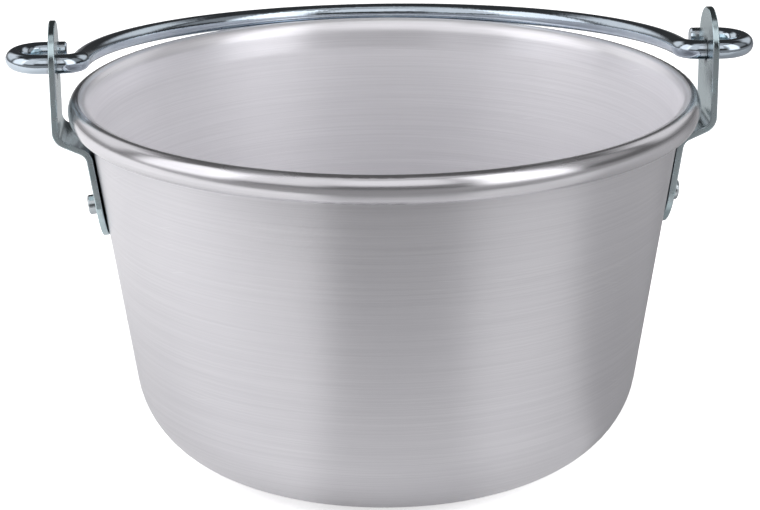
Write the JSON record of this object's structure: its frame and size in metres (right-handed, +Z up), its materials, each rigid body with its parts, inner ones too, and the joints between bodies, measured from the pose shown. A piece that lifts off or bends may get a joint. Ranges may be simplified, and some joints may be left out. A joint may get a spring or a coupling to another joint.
{
  "type": "brew kettle",
  "caption": "Open tapered aluminium kettle with a rolled rim, riveted strap ears on both sides and a swinging rod bail that folds back onto the rim.",
  "frame": {"origin": "centre of the pot's underside, on the surface it stands on", "axes": "+Z up the pot's axis, +X from the left ear to the right ear along the bail's pivot, +Y towards the side the bail is folded to"},
  "size_m": [0.3538, 0.3031, 0.212],
  "materials": {
    "spun_aluminium": "brushed round the pot outside, satin inside",
    "plated_strap": "bright zinc plate on bent strap",
    "rivet_steel": "bright, slightly dulled",
    "plated_rod": "bright zinc plate on drawn rod"
  },
  "bodies": {
    "kettle": {"kettle_body": "spun_aluminium", "left_ear": "plated_strap", "right_ear": "plated_strap", "left_rivet": "rivet_steel", "right_rivet": "rivet_steel"},
    "bail": {"bail": "plated_rod"}
  },
  "joints": [
    {"name": "bail_swing", "type": "hinge", "parent": "kettle", "child": "bail", "pos_m": [0, 0, 0.1916], "axis": [1, 0, 0], "range_deg": [0, 190.1]}
  ]
}
